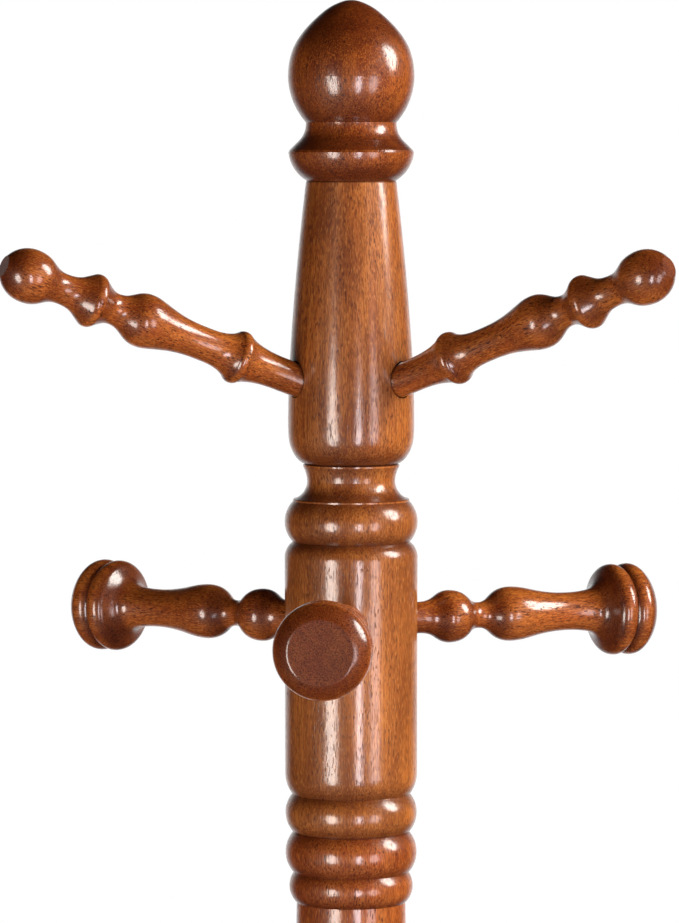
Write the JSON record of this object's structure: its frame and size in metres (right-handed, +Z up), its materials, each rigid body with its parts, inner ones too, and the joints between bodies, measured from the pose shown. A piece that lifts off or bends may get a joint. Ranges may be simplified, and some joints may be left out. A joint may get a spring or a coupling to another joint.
{
  "type": "hat and coat tree",
  "caption": "Free-standing turned-wood hat and coat tree: level coat pegs and sloping hat pegs near the top of a sectional post on curved legs.",
  "frame": {"origin": "on the floor, on the axis of the post", "axes": "+Z up along the post; -Y is the front, where one coat peg points"},
  "size_m": [0.4606, 0.4606, 1.77],
  "materials": {
    "post_wood": "glossy red-brown stain under clear lacquer",
    "peg_wood": "darker red-brown stain under clear lacquer",
    "base_wood": "glossy red-brown stain under clear lacquer",
    "plated_steel": "zinc plated",
    "brass": "machined",
    "black_steel": "black oxide",
    "nylon": "matte"
  },
  "bodies": {
    "root": {"finial": "post_wood", "head_post": "post_wood", "upper_shaft": "post_wood", "lower_shaft": "post_wood", "leg_hub": "base_wood", "leg_1": "base_wood", "leg_2": "base_wood", "leg_3": "base_wood", "leg_4": "base_wood", "coat_peg_front": "peg_wood", "coat_peg_right": "peg_wood", "coat_peg_left": "peg_wood", "hat_peg_right": "peg_wood", "hat_peg_left": "peg_wood", "hat_peg_back": "peg_wood", "finial_screw": "plated_steel", "joint_studs": "plated_steel", "joint_inserts": "brass", "leg_bolts": "black_steel", "leg_washers": "black_steel", "leg_inserts": "brass", "foot_glides": "nylon"}
  },
  "joints": []
}
